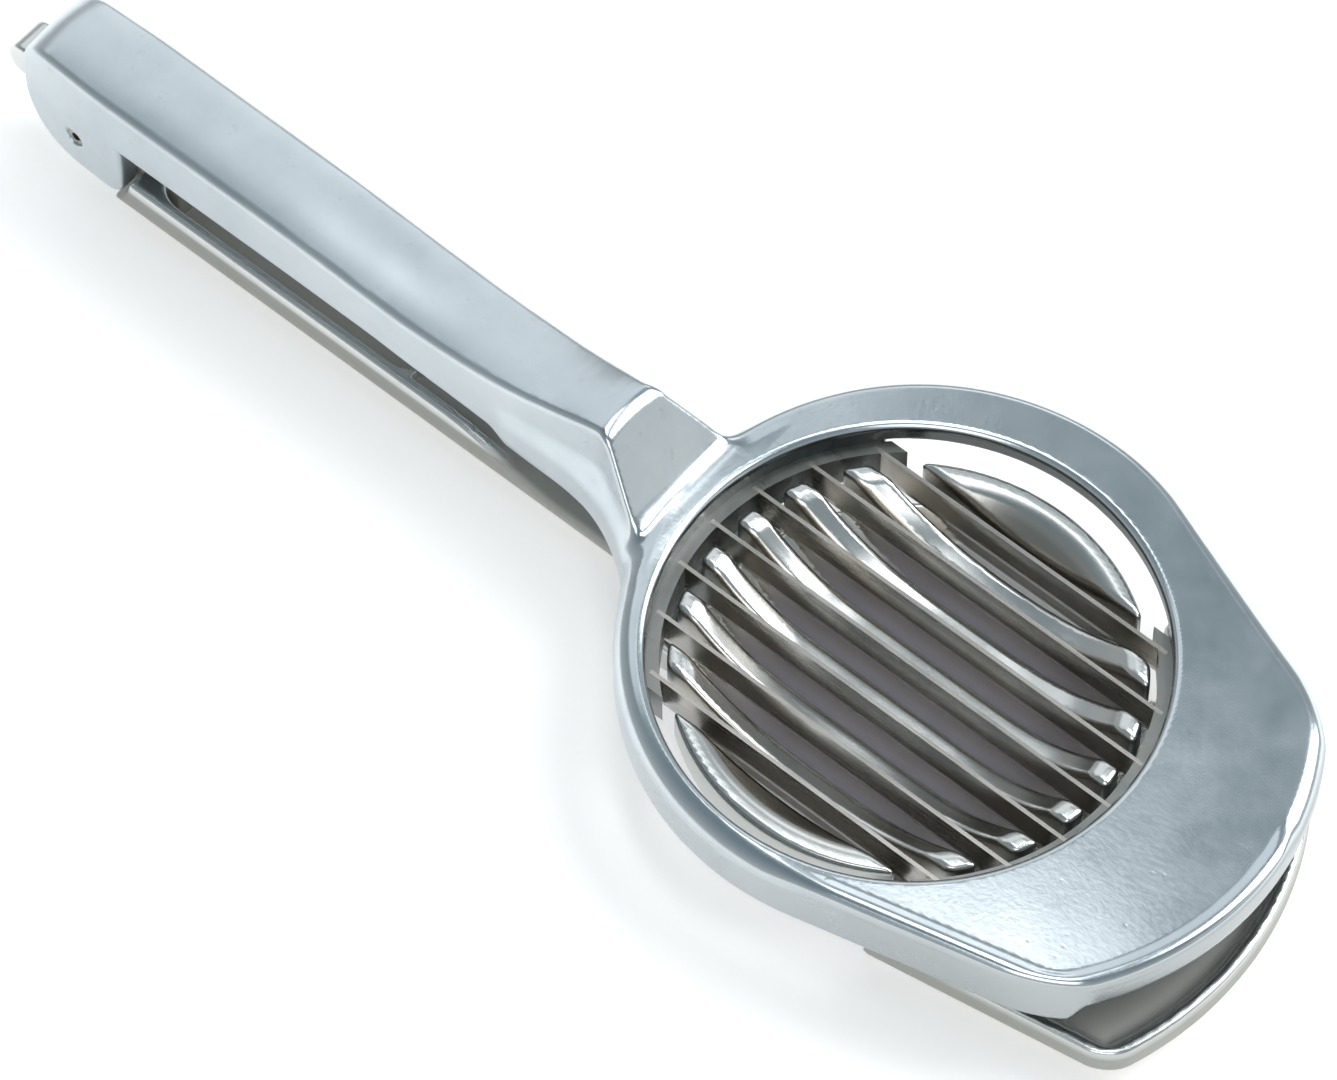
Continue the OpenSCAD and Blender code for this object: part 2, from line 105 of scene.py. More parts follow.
# Flare between the arm and the ring
FLARE_X, FLARE_ARM_END, FLARE_HALF = (-58.0, -28.5), -28.0, 5.4
FLARE_IN, FLARE_SPREAD, FLARE_END_ROUND = 2.0, 18.0, 2.0
FLARE_DROP, FLARE_TOP_ROUND = 0.6, 3.2
FLARE_LIFT, FLARE_LOW_ROUND = 0.15, 0.6
FLARE_FILLET, HEAD_FILLET = 2.0, 1.2

# Lower arm with its pocket, hinge tongue and tail
LOW_HALF, LOW_TOP, LOW_BACK, LOW_FRONT = 5.9, 8.4, -119.0, -29.0
LOW_KEEL_ROUND, LOW_TOP_ROUND, LOW_END_ROUND, LOW_SOFT = 5.0, 0.75, 0.6, 2.0
POCKET_X, POCKET_HALF, POCKET_FLOOR = (-113.5, -71.0), 4.4, 2.0
POCKET_FLOOR_ROUND, POCKET_EDGE_ROUND = 1.2, 0.35
SHALLOW_MID, SHALLOW_RUN, SHALLOW_FLOOR = -61.5, 10.5, 6.6
SWING_R, SWING_ROUND = 8.9, 0.4
BOSS_R, TONGUE_HALF, TONGUE_ROUND = 4.4, 2.65, 0.6
TONGUE_BORE_R, TONGUE_BORE_ROUND = 1.3, 0.1
TAIL_MID, TAIL_RUN, TAIL_Z, TAIL_R = -129.9, 5.7, 12.0, 2.6
TAIL_FILLET, ROOT_FILLET = 1.5, 1.0
ROOT_PROFILE = [(PIN_X, 5.6), (PIN_X + 8, 1.0), (-111, 0.2), (-111, 8.2), (PIN_X + 8, 8.8),
                (PIN_X + 2, 13.9), (PIN_X, 10.0)]

# Yoke between the lower arm and the dish
YOKE_TOP, YOKE_LOW, YOKE_HALF, YOKE_ROUND = 5.5, 0.6, 12.5, 0.8
YOKE_PLAN = [(-36, -2), (-36, LOW_HALF - 1), (-28, YOKE_HALF), (-21, YOKE_HALF), (-21, -2)]
LOW_TOP_LINE = [(-119, LOW_TOP), (-64, LOW_TOP), (-50, YOKE_TOP), (-40, YOKE_TOP)]

# Dish: its bowl, and its underside in a flat foot and a steeper haunch (directions out and up)
DISH_R, DISH_RIM, DISH_MID = 27.5, 15.0, 9.0
DISH_RIM_DROP, DISH_RIM_ROUND, DISH_WALL_ROUND = 0.25, 0.7, 3.0
BOWL_FLAT, BOWL_R, BOWL_POWER, BOWL_CLIMB_MAX = 9.0, 25.4, 2.5, 1.2
HAUNCH_R, HAUNCH_Z, HAUNCH_SLOPE, HAUNCH_OUT, HAUNCH_UP = 22.5, 3.0, 0.8, 0.625, 0.781
SOLE_R, SOLE_SLOPE, SOLE_OUT, SOLE_UP = 15.0, 0.4, 0.371, 0.928
HAUNCH_ROUND, SOLE_ROUND = 2.0, 1.5

# Slots between the ribs, one for each blade
PITCH, SIDE_SLOTS = 6.65, 3
SLOT_HALF, SLOT_SKIN, SLOT_PAST_WALL, SLOT_ROUND = 1.825, 2.0, 0.5, 0.8
SLOT_DRAFT, SLOT_DRAFT_TOP = 0.13, 9.5
SLOT_FLOOR, END_SLOT_FLOOR = 2.6, 5.4
# The floors stay below the blades, also when the arms are pressed shut.
SLOT_FLOOR_MAX = 7.6

# Tip tray with its raised rim, and the bridge that ties it to the dish
TRAY_R, TRAY_CX, TRAY_CY, TRAY_INNER_R = 43.8, 7.3, -5.0, 31.0
TRAY_TAPER, TRAY_SIDE_Y, TRAY_CORNER = math.radians(10.0), 1.0, 2.6
TRAY_LOW, TRAY_TOP, TRAY_LOW_ROUND, TRAY_TOP_ROUND = 4.4, 6.6, 0.7, 0.5
TRAY_EDGE_ROUND = 0.6
HORN_X, HORN_HALF = 16.5, 28.8
RIM_IN, RIM_HALF, RIM_MID, RIM_RUN, RIM_R, RIM_FILLET = 0.8, 0.15, 6.3, 0.85, 0.65, 2.4
BRIDGE_X, BRIDGE_HALF, BRIDGE_THICK_HALF, BRIDGE_ROUND = (21.0, 33.0), 18.5, 1.1, 0.6
TRAY_FILLET, DISH_FILLET, LOW_FILLET = 0.8, 1.0, 1.5

# Boxes that hold the castings, and the size of their meshes' cells
UPPER_BOX, UPPER_STEP = ((-134.4, -38.6, 3.8), (50.4, 38.6, 27.6)), 0.4
LOWER_BOX, LOWER_STEP = ((-139.2, -31.0, -0.6), (52.2, 31.0, 15.8)), 0.47


# ---------------------------------------------------------------- distance field helpers
def smin(a, b, k):
    """Union of two fields with a concave fillet of about k."""
    h = np.maximum(k - np.abs(a - b), 0.0) / k
    return np.minimum(a, b) - h * h * k * 0.25


def rmax(a, b, r):
    """Intersection of two fields with a rounded outer edge of radius r."""
    u, v = a + r, b + r
    return np.minimum(np.maximum(u, v), 0.0) + np.hypot(np.maximum(u, 0.0), np.maximum(v, 0.0)) - r


def cut(a, b, r):
    """Field a with b removed and the new edge rounded."""
    return rmax(a, -b, r)


def ease(x, a, b):
    """0 below a, 1 above b, smooth between."""
    t = np.clip((x - a) / (b - a), 0.0, 1.0)
    return t * t * (3.0 - 2.0 * t)


def curve(x, line, soft):
    """Value read along a line of (x, value) points, with the corners softened over a length soft."""
    knots, values = zip(*line)
    return sum(np.interp(x + s * soft, knots, values) for s in (-1, -0.5, 0, 0.5, 1)) / 5.0


def poly(px, pz, points):
    """Signed distance to a closed polygon."""
    best = np.full(px.shape, 1e9)
    inside = np.zeros(px.shape, bool)
    for (ax, az), (bx, bz) in zip(points, points[1:] + points[:1]):
        ex, ez = bx - ax, bz - az
        wx, wz = px - ax, pz - az
        t = np.clip((wx * ex + wz * ez) / (ex * ex + ez * ez), 0.0, 1.0)
        best = np.minimum(best, (wx - ex * t) ** 2 + (wz - ez * t) ** 2)
        crosses = (az > pz) != (bz > pz)
        if ez:
            inside ^= crosses & (px < ax + ex * (pz - az) / ez)
    return np.sqrt(best) * np.where(inside, -1.0, 1.0)


def side_line(cx, cy, r, from_x, from_r):
    """Direction and offset of the line that touches two circles.

    One has radius from_r and lies at (from_x, 0), the other has radius r and lies at (cx, cy)."""
    run = math.hypot(cx - from_x, cy)
    a = math.atan2(cy, cx - from_x) + math.acos((from_r - r) / run)
    return a, from_x * math.cos(a) + from_r


# ---------------------------------------------------------------- upper casting
def crown(x, y):
    """How far the ring's top lies under its highest line: a faint cylinder that falls along CROWN_DIR."""
    along = CROWN_DIR[0] * x + CROWN_DIR[1] * y
    return (np.clip(along, *CROWN_RANGE) - CROWN_MID) ** 2 / (2.0 * CROWN_R)


def off_centre(x, y):
    """Distance from the ring casting's own middle line, which lies to the far side of the opening."""
    return np.abs(y - np.interp(x, *zip(LEAN_FROM, LEAN_TO)))


def head_outline(x, ay):
    """Distance to the outline of the upper ring and its tip plate, seen from above."""
    cx = TIP_CX + (TIP_R - CORNER_R) * math.cos(TIP_ANGLE)
    cy = (TIP_R - CORNER_R) * math.sin(TIP_ANGLE)
    a, offset = side_line(cx, cy, CORNER_R, RING_SHIFT, RING_R)
    side = x * math.cos(a) + ay * math.sin(a) - offset
    tip = np.hypot(x - TIP_CX, ay) - TIP_R
    handle_side = ay * math.cos(a) - (x - RING_SHIFT) * math.sin(a)
    wedge = np.maximum(rmax(side, tip, CORNER_R), handle_side)
    return np.minimum(np.hypot(x - RING_SHIFT, ay) - RING_R, wedge)


def upper_field(x, y, z):
    """Upper casting: channel arm with cheeks, sloped neck, ring plate with rolled edge and skirt."""
    ay = np.abs(y)
    r_eye = np.hypot(x, ay)
    r_pin = np.hypot(x - PIN_X, z - PIN_Z)
    lean = off_centre(x, y)
    out = head_outline(x, lean)
    # ring and tip plate
    over = z + crown(x, y) - RING_TOP
    near = (1.0 - ease(x, *EDGE_NEAR_X)) * (1.0 - ease(y, *EDGE_NEAR_Y))
    edge = EDGE_ROUND + EDGE_TIP_MORE * ease(x, *EDGE_TIP_X) + EDGE_NEAR_MORE * near
    head = rmax(out, over, edge)
    sunk = BEAD_SINK * (1.0 - ease(x, *BEAD_X) * (1.0 - ease(y, *BEAD_Y)))
    bead = np.hypot(out + BEAD_IN + sunk, over + BEAD_DOWN + sunk) - BEAD_R
    head = smin(head, bead, BEAD_FILLET)
    at_tip = np.abs(np.arctan2(lean, x - TIP_CX))
    lift_ends = [TIP_ANGLE - before for before in TIP_LIFT_ENDS]
    skirt_low = RING_LOW + TIP_LIFT * (1.0 - ease(at_tip, *lift_ends)) * (x > TIP_CX)
    head = rmax(head, skirt_low - z, SKIRT_ROUND)
    collar = np.minimum(EYE_R + COLLAR - r_eye, SEAT_HALF - ay)
    hollow = np.maximum(np.maximum(out + SKIRT, collar), z - (RING_TOP - PLATE))
    # arm
    arm_top = curve(x, ARM_TOP_LINE, ARM_SOFT)
    top = z - arm_top + ARM_CROWN * ay * ay
    neck_length = math.hypot(CREST_Z - FOOT_Z, FOOT_X - CREST_X)
    neck_dir = np.array([CREST_Z - FOOT_Z, FOOT_X - CREST_X]) / neck_length
    neck = (x - CREST_X) * neck_dir[0] + (z - CREST_Z) * neck_dir[1]
    top = rmax(top, neck, CREST_ROUND)
    cheek = rmax(x - CHEEK_FRONT, CHEEK_LOW - z, CHEEK_ROUND)
    low = np.minimum(curve(x, ARM_LOW_LINE, ARM_SOFT) - z, cheek)
    body = np.maximum(top, low)
    body = rmax(body, ARM_END - x, np.interp(z, END_ROUND_Z, END_ROUND))
    body = rmax(body, ay - curve(x, ARM_HALF_LINE, ARM_HALF_SOFT), ARM_ROUND)
    body = np.maximum(body, x - ARM_STOP)
    # flare into the ring
    stem = np.maximum(ay - FLARE_HALF, x - FLARE_ARM_END)
    plan = smin(stem, np.hypot(x - RING_SHIFT, lean) - RING_R + FLARE_IN, FLARE_SPREAD)
    plan = rmax(rmax(plan, FLARE_X[0] - x, FLARE_END_ROUND), x - FLARE_X[1], FLARE_END_ROUND)
    flare = rmax(plan, z - (RING_TOP - FLARE_DROP), FLARE_TOP_ROUND)
    flare = rmax(flare, RING_LOW + FLARE_LIFT - z, FLARE_LOW_ROUND)
    solid = smin(smin(body, flare, FLARE_FILLET), head, HEAD_FILLET)
    solid = cut(solid, hollow, HOLLOW_ROUND)
    # channel inside the arm, and the fork between the cheeks
    roof = curve(np.clip(x, ARM_END, CHANNEL_X[1]), ARM_TOP_LINE, ARM_SOFT)
    channel = rmax(np.maximum(ay - CHANNEL_HALF, z - roof + CHANNEL_ROOF),
                   np.maximum(CHANNEL_X[0] - x, x - CHANNEL_X[1]), CHANNEL_ROUND)
    solid = cut(solid, channel, INNER_EDGE_ROUND)
    fork = np.maximum(np.maximum(ay - FORK_HALF, z - FORK_TOP), x - FORK_FRONT)
    solid = cut(solid, fork, INNER_EDGE_ROUND)
    # the round opening, rounded at the top, and the pin's hole
    solid = cut(solid, r_eye - EYE_R, EYE_ROUND)
    return cut(solid, r_pin - PIN_HOLE_R, PIN_HOLE_ROUND)


# ---------------------------------------------------------------- lower casting
def tray_outline(x, y):
    """Distance to the tray's outline, whose tip curve is centred toward the near side."""
    beside = np.abs(y - TRAY_SIDE_Y) - HORN_HALF
    side = (x - HORN_X) * math.sin(TRAY_TAPER) + beside * math.cos(TRAY_TAPER)
    tip = np.hypot(x - TRAY_CX, y - TRAY_CY) - TRAY_R
    return np.maximum(rmax(side, tip, TRAY_CORNER), HORN_X - x)


def lower_arm_field(x, ay, z, r_pin):
    """Channel arm with a deep and a shallow pocket, hollowed where the upper cheeks turn."""
    top = curve(x, LOW_TOP_LINE, LOW_SOFT)
    arm = rmax(rmax(ay - LOW_HALF, -z, LOW_KEEL_ROUND), z - top, LOW_TOP_ROUND)
    arm = rmax(arm, np.maximum(LOW_BACK - x, x - LOW_FRONT), LOW_END_ROUND)
    mid = (POCKET_X[0] + POCKET_X[1]) / 2
    run = (POCKET_X[1] - POCKET_X[0]) / 2
    pocket = np.hypot(np.maximum(np.abs(x - mid) - run + POCKET_HALF, 0.0), ay) - POCKET_HALF
    arm = cut(arm, rmax(pocket, POCKET_FLOOR - z, POCKET_FLOOR_ROUND), POCKET_EDGE_ROUND)
    shallow = np.maximum(ay - POCKET_HALF, np.abs(x - SHALLOW_MID) - SHALLOW_RUN)
    arm = cut(arm, np.maximum(shallow, SHALLOW_FLOOR - z), POCKET_EDGE_ROUND)
    return cut(arm, r_pin - SWING_R, SWING_ROUND)


def tongue_field(x, ay, z, r_pin):
    """Hinge tongue: a boss round the pin, its root in the arm, and the tail behind it."""
    tail = np.hypot(np.maximum(np.abs(x - TAIL_MID) - TAIL_RUN, 0.0), z - TAIL_Z) - TAIL_R
    profile = smin(smin(r_pin - BOSS_R, tail, TAIL_FILLET), poly(x, z, ROOT_PROFILE), ROOT_FILLET)
    tongue = rmax(profile, ay - TONGUE_HALF, TONGUE_ROUND)
    return cut(tongue, r_pin - TONGUE_BORE_R, TONGUE_BORE_ROUND)


def tray_field(x, y, z, ay, r_eye):
    """Tip tray with its raised rim, and the bridge to the dish."""
    out = tray_outline(x, y)
    plate = rmax(rmax(out, z - TRAY_TOP, TRAY_TOP_ROUND), TRAY_LOW - z, TRAY_LOW_ROUND)
    rim_in = np.maximum(np.abs(out + RIM_IN) - RIM_HALF, 0.0)
    rim_up = np.maximum(np.abs(z - RIM_MID) - RIM_RUN, 0.0)
    rim = np.hypot(rim_in, rim_up) - RIM_R
    plate = rmax(smin(plate, rim, RIM_FILLET), out, TRAY_EDGE_ROUND)
    plate = cut(plate, r_eye - TRAY_INNER_R, TRAY_EDGE_ROUND)
    bridge = np.maximum(np.maximum(BRIDGE_X[0] - x, x - BRIDGE_X[1]), ay - BRIDGE_HALF)
    level = np.abs(z - (TRAY_LOW + TRAY_TOP) / 2) - BRIDGE_THICK_HALF
    return smin(plate, rmax(bridge, level, BRIDGE_ROUND), TRAY_FILLET)


def dish_field(z, r_eye):
    """Egg dish before its slots are cut."""
    haunch = (r_eye - HAUNCH_R) * HAUNCH_OUT - (z - HAUNCH_Z) * HAUNCH_UP
    sole = (r_eye - SOLE_R) * SOLE_OUT - z * SOLE_UP
    under = rmax(rmax(haunch, sole, HAUNCH_ROUND), -z, SOLE_ROUND)
    dish = rmax(r_eye - DISH_R, under, DISH_WALL_ROUND)
    dish = rmax(dish, z - DISH_RIM + DISH_RIM_DROP, DISH_RIM_ROUND)
    climb = np.clip((r_eye - BOWL_FLAT) / (BOWL_R - BOWL_FLAT), 0.0, BOWL_CLIMB_MAX)
    rise = (DISH_RIM - DISH_MID) * climb ** BOWL_POWER
    slope = (DISH_RIM - DISH_MID) * BOWL_POWER / (BOWL_R - BOWL_FLAT) * climb ** (BOWL_POWER - 1.0)
    bowl = (DISH_MID + rise - z) / np.sqrt(1.0 + slope * slope)
    return cut(dish, bowl, DISH_RIM_ROUND)


def slot_field(y, z, r_eye):
    """Slots with draft, whose floors rise with the dish's underside."""
    number = np.clip(np.rint(y / PITCH), -SIDE_SLOTS, SIDE_SLOTS)
    floor_z = np.where(np.abs(number) == SIDE_SLOTS, END_SLOT_FLOOR, SLOT_FLOOR)
    floor_z = np.maximum(floor_z, SLOT_SKIN + SOLE_SLOPE * (r_eye - SOLE_R))
    floor_z = np.maximum(floor_z, SLOT_SKIN + HAUNCH_Z + HAUNCH_SLOPE * (r_eye - HAUNCH_R))
    floor_z = np.minimum(floor_z, SLOT_FLOOR_MAX)
    half = SLOT_HALF - SLOT_DRAFT * np.maximum(SLOT_DRAFT_TOP - z, 0.0)
    slot = np.maximum(np.abs(y - PITCH * number) - half, floor_z - z)
    return np.maximum(slot, r_eye - DISH_R - SLOT_PAST_WALL)


def lower_field(x, y, z):
    """Lower casting: channel arm, hinge tongue with tail, yoke, slotted dish and tip tray."""
    ay = np.abs(y)
    r_eye = np.hypot(x, ay)
    r_pin = np.hypot(x - PIN_X, z - PIN_Z)
    arm = lower_arm_field(x, ay, z, r_pin)
    tongue = tongue_field(x, ay, z, r_pin)
    yoke = rmax(poly(x, ay, YOKE_PLAN), z - YOKE_TOP, YOKE_ROUND)
    yoke = rmax(yoke, YOKE_LOW - z, YOKE_ROUND)
    body = smin(dish_field(z, r_eye), tray_field(x, y, z, ay, r_eye), DISH_FILLET)
    body = cut(smin(body, yoke, DISH_FILLET), slot_field(y, z, r_eye), SLOT_ROUND)
    return np.maximum(np.minimum(smin(body, arm, LOW_FILLET), tongue), -z)


# ---------------------------------------------------------------- mesher
CORNERS = [(i, j, k) for i in (0, 1) for j in (0, 1) for k in (0, 1)]
PROBE = 0.12
BLOCK, BLOCK_REACH, FAR = 4, 1.9, 9.0
DRAWS, DRAW_MAX, FLAT_LIMIT = 3, 0.5, 0.05


def gradient(field, p):
    """Slope of a field at points p."""
    g = np.empty_like(p)
    for a in range(3):
        q = p.copy()
        q[:, a] += PROBE
        up = field(q[:, 0], q[:, 1], q[:, 2])
        q[:, a] -= 2 * PROBE
        g[:, a] = (up - field(q[:, 0], q[:, 1], q[:, 2])) / (2 * PROBE)
    return g


def spread(blocks):
    """Each block's value given to all of its cells."""
    for a in range(3):
        blocks = np.repeat(blocks, BLOCK, a)
    return blocks


def sample(field, lo, hi, step):
    """Field values on a grid, exact near the surface and only right in sign far from it."""
    n = (np.ceil((np.array(hi) - lo) / (step * BLOCK)).astype(int)) * BLOCK
    coarse = [lo[a] + (np.arange(n[a] // BLOCK) + 0.5) * step * BLOCK for a in range(3)]
    cx, cy, cz = np.meshgrid(*coarse, indexing="ij")
    centre = field(cx.ravel(), cy.ravel(), cz.ravel()).reshape(cx.shape)
    values = spread(np.where(centre < 0, -FAR, FAR))
    idx = np.argwhere(spread(np.abs(centre) < step * BLOCK * BLOCK_REACH))
    p = lo + idx * step
    values[tuple(idx.T)] = field(p[:, 0], p[:, 1], p[:, 2])
    return n, values


def surface(field, lo, hi, step):
    """Vertices, quads and normals of field = 0 inside the box, by surface nets drawn onto the field."""
    lo = np.array(lo, float)
    n, values = sample(field, lo, hi, step)
    neg = values < 0
    count = sum(neg[i:n[0] - 1 + i, j:n[1] - 1 + j, k:n[2] - 1 + k].astype(np.int8) for i, j, k in CORNERS)
    cells = np.argwhere((count > 0) & (count < len(CORNERS)))
    total = np.zeros((len(cells), 3))
    hits = np.zeros(len(cells))
    for i, j, k in CORNERS:
        for a in range(3):
            if (i, j, k)[a]:
                continue
            c0 = cells + (i, j, k)
            c1 = c0.copy()
            c1[:, a] += 1
            v0, v1 = values[tuple(c0.T)], values[tuple(c1.T)]
            on = (v0 < 0) != (v1 < 0)
            t = np.where(on, v0 / np.where(on, v0 - v1, 1.0), 0.0)
            q = c0.astype(float)
            q[:, a] += t
            total += q * on[:, None]
            hits += on
    verts = lo + total / hits[:, None] * step
    for _ in range(DRAWS):
        g = gradient(field, verts)
        d = field(verts[:, 0], verts[:, 1], verts[:, 2])
        move = g * (d / np.maximum((g * g).sum(1), FLAT_LIMIT))[:, None]
        verts -= np.clip(move, -step * DRAW_MAX, step * DRAW_MAX)
    ident = np.full(tuple(n), -1)
    ident[tuple(cells.T)] = np.arange(len(cells))
    quads = []
    for a in range(3):
        b, c = (a + 1) % 3, (a + 2) % 3
        left, right = [slice(0, m - 1) for m in n], [slice(0, m - 1) for m in n]
        right[a] = slice(1, n[a])
        at = np.argwhere(neg[tuple(left)] != neg[tuple(right)])
        at = at[(at[:, b] > 0) & (at[:, c] > 0)]
        flip = neg[tuple(at.T)]
        ring = []
        for ob, oc in ((0, 0), (-1, 0), (-1, -1), (0, -1)):
            q = at.copy()
            q[:, b] += ob
            q[:, c] += oc
            ring.append(ident[tuple(q.T)])
        quad = np.stack(ring, 1)
        quad[~flip] = quad[~flip][:, ::-1]
        quads.append(quad)
    normals = gradient(field, verts)
    normals /= np.linalg.norm(normals, axis=1)[:, None]
    return verts, np.concatenate(quads), normals


def casting(name, field, box, step, body, node, material):
    """A casting drawn from its field, riding on body in place of the CAD node."""
    verts, quads, normals = surface(field, *box, step)
    verts[:, 0] += EYE_X
    mesh = bpy.data.meshes.new(name)
    mesh.vertices.add(len(verts))
    mesh.vertices.foreach_set("co", (verts * MM).astype(np.float32).ravel())
    mesh.loops.add(quads.size)
    mesh.loops.foreach_set("vertex_index", quads.astype(np.int32).ravel())
    mesh.polygons.add(len(quads))
    mesh.polygons.foreach_set("loop_start", np.arange(0, quads.size, 4, dtype=np.int32))
    mesh.update(calc_edges=True)
    mesh.validate()
    mesh.shade_smooth()
    mesh.normals_split_custom_set_from_vertices(normals.tolist())
    mesh.materials.append(material)
    obj = bpy.data.objects.new(name, mesh)
    bpy.context.scene.collection.objects.link(obj)
    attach(obj, body)
    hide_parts(node)
    print(name, len(verts), "vertices")


# ---------------------------------------------------------------- material nodes
MIX_FACTOR, MIX_FROM, MIX_TO, MIX_OUT = 0, 6, 7, 2
FADE_IN, FADE_OUT = (0.0, 1.0), (1.0, 0.0)


def new_material(name):
    """A material with a plain shader, and the object's coordinates for its patterns."""
    mat = bpy.data.materials.new(name)
    mat.use_nodes = True
    tree = mat.node_tree
    tree.nodes.clear()
    out = tree.nodes.new("ShaderNodeOutputMaterial")
    shader = tree.nodes.new("ShaderNodeBsdfPrincipled")
    tree.links.new(shader.outputs[0], out.inputs[0])
    coord = tree.nodes.new("ShaderNodeTexCoord")
    return mat, tree, shader, coord.outputs["Object"]


def noise(tree, coord, scale, detail=4.0, rough=0.55, stretch=None):
    """Cloudy pattern, drawn out along an axis where stretch is below 1."""
    node = tree.nodes.new("ShaderNodeTexNoise")
    node.inputs["Scale"].default_value = scale
    node.inputs["Detail"].default_value = detail
    node.inputs["Roughness"].default_value = rough
    if stretch:
        mapping = tree.nodes.new("ShaderNodeMapping")
        mapping.inputs["Scale"].default_value = stretch
        tree.links.new(coord, mapping.inputs["Vector"])
        coord = mapping.outputs["Vector"]
    tree.links.new(coord, node.inputs["Vector"])
    return node.outputs["Fac"]


def ramp(tree, fac, stops):
    """Colour read from a factor along stops of (place, colour)."""
    node = tree.nodes.new("ShaderNodeValToRGB")
    items = node.color_ramp.elements
    while len(items) < len(stops):
        items.new(0.5)
    for item, (pos, col) in zip(items, stops):
        item.position = pos
        item.color = (*col, 1.0)
    tree.links.new(fac, node.inputs["Fac"])
    return node.outputs["Color"]


def remap(tree, fac, source, target=FADE_IN):
    """Factor carried from the source range to the target range, held at its ends."""
    node = tree.nodes.new("ShaderNodeMapRange")
    for key, value in zip(("From Min", "From Max", "To Min", "To Max"), (*source, *target)):
        node.inputs[key].default_value = value
    tree.links.new(fac, node.inputs["Value"])
    return node.outputs["Result"]


def maths(tree, op, a, b=0.0):
    """Math node on a socket and a socket or number."""
    node = tree.nodes.new("ShaderNodeMath")
    node.operation = op
    tree.links.new(a, node.inputs[0])
    if isinstance(b, float):
        node.inputs[1].default_value = b
    else:
        tree.links.new(b, node.inputs[1])
    return node.outputs[0]


def plus(tree, a, b):
    return maths(tree, "ADD", a, b)


def times(tree, a, b):
    return maths(tree, "MULTIPLY", a, b)


def size_of(tree, a):
    return maths(tree, "ABSOLUTE", a)


def bump(tree, height, distance, strength, before=None):
    """Normal that follows a height pattern, on top of the one before."""
    node = tree.nodes.new("ShaderNodeBump")
    node.inputs["Distance"].default_value = distance
    node.inputs["Strength"].default_value = strength
    tree.links.new(height, node.inputs["Height"])
    if before is not None:
        tree.links.new(before, node.inputs["Normal"])
    return node.outputs["Normal"]


def blend(tree, fac, base, tone):
    """Base colour moved toward one tone by a factor."""
    node = tree.nodes.new("ShaderNodeMix")
    node.data_type = "RGBA"
    tree.links.new(fac, node.inputs[MIX_FACTOR])
    tree.links.new(base, node.inputs[MIX_FROM])
    node.inputs[MIX_TO].default_value = (*tone, 1.0)
    return node.outputs[MIX_OUT]


def places(mat):
    """Node tree, shader, position and facing of a casting's material."""
    tree = mat.node_tree
    shader = next(n for n in tree.nodes if n.type == "BSDF_PRINCIPLED")
    coord = next(n for n in tree.nodes if n.type == "TEX_COORD")
    out = []
    for key in ("Object", "Normal"):
        split = tree.nodes.new("ShaderNodeSeparateXYZ")
        tree.links.new(coord.outputs[key], split.inputs[0])
        out.append(split.outputs)
    return tree, shader, out[0], out[1]


def metres(stretch, start=0.0):
    """A stretch in millimetres from a start, in metres."""
    return [(start + place) * MM for place in stretch]


def from_centre(tree, place):
    """Distance from the axis of the round opening."""
    x = plus(tree, place["X"], -EYE_X * MM)
    squares = plus(tree, times(tree, x, x), times(tree, place["Y"], place["Y"]))
    return maths(tree, "POWER", squares, 0.5)


# ---------------------------------------------------------------- materials
SPECK_TONE, SPECK_AMOUNT, SPECK_RANGE = (0.40, 0.42, 0.43), 0.30, (0.62, 0.74)
SMUDGE_RANGE, PIT_RANGE, LINE_RANGE = (0.2, 0.8), (0.02, 0.12), (0.3, 0.7)
# How level a face is, from side wall to top
WALL_FACING = (0.35, 0.62)
# Past the edge of the round opening
BORE_R = (0.4, 1.4)
HANDLE_X = (-62.0, -42.0)
# Parts of the lower casting
DISH_INSIDE_R, RIB_FACING = (25.5, 27.2), (0.35, 0.8)
CRESCENT_Y, CRESCENT_Z = (21.2, 21.8), (13.5, 14.8)
SLOT_FLOOR_Z = (3.5, 6.5)
TRAY_FLOOR_R, TRAY_FLOOR_Z = (29.5, 31.0), (6.6, 7.4)
TRAY_DULL, FLOOR_DULL = 0.50, 0.60


def cast_aluminium(name, light, dark, rough):
    """Tumbled cast aluminium: satin sheen, faint smudges, fine grain, small pits."""
    mat, tree, shader, coord = new_material(name)
    shader.inputs["Metallic"].default_value = 1.0
    cloud = noise(tree, coord, scale=60.0, detail=5.0, rough=0.6)
    smudge = noise(tree, coord, scale=140.0, detail=6.0, rough=0.65)
    specks = noise(tree, coord, scale=420.0, detail=5.0, rough=0.7)
    speck = remap(tree, specks, SPECK_RANGE, (0.0, SPECK_AMOUNT))
    tone = blend(tree, speck, ramp(tree, cloud, [(0.25, dark), (0.75, light)]), SPECK_TONE)
    tree.links.new(tone, shader.inputs["Base Color"])
    tree.links.new(remap(tree, smudge, SMUDGE_RANGE, rough), shader.inputs["Roughness"])
    wave = noise(tree, coord, scale=150.0, detail=3.0, rough=0.5)
    grain = noise(tree, coord, scale=1400.0, detail=3.0, rough=0.6)
    pits = tree.nodes.new("ShaderNodeTexVoronoi")
    pits.inputs["Scale"].default_value = 420.0
    tree.links.new(coord, pits.inputs["Vector"])
    hole = remap(tree, pits.outputs["Distance"], PIT_RANGE)
    waved = bump(tree, wave, distance=0.0006, strength=0.014)
    grained = bump(tree, grain, distance=0.00008, strength=0.08, before=waved)
    pitted = bump(tree, hole, distance=0.00008, strength=0.06, before=grained)
    tree.links.new(pitted, shader.inputs["Normal"])
    return mat


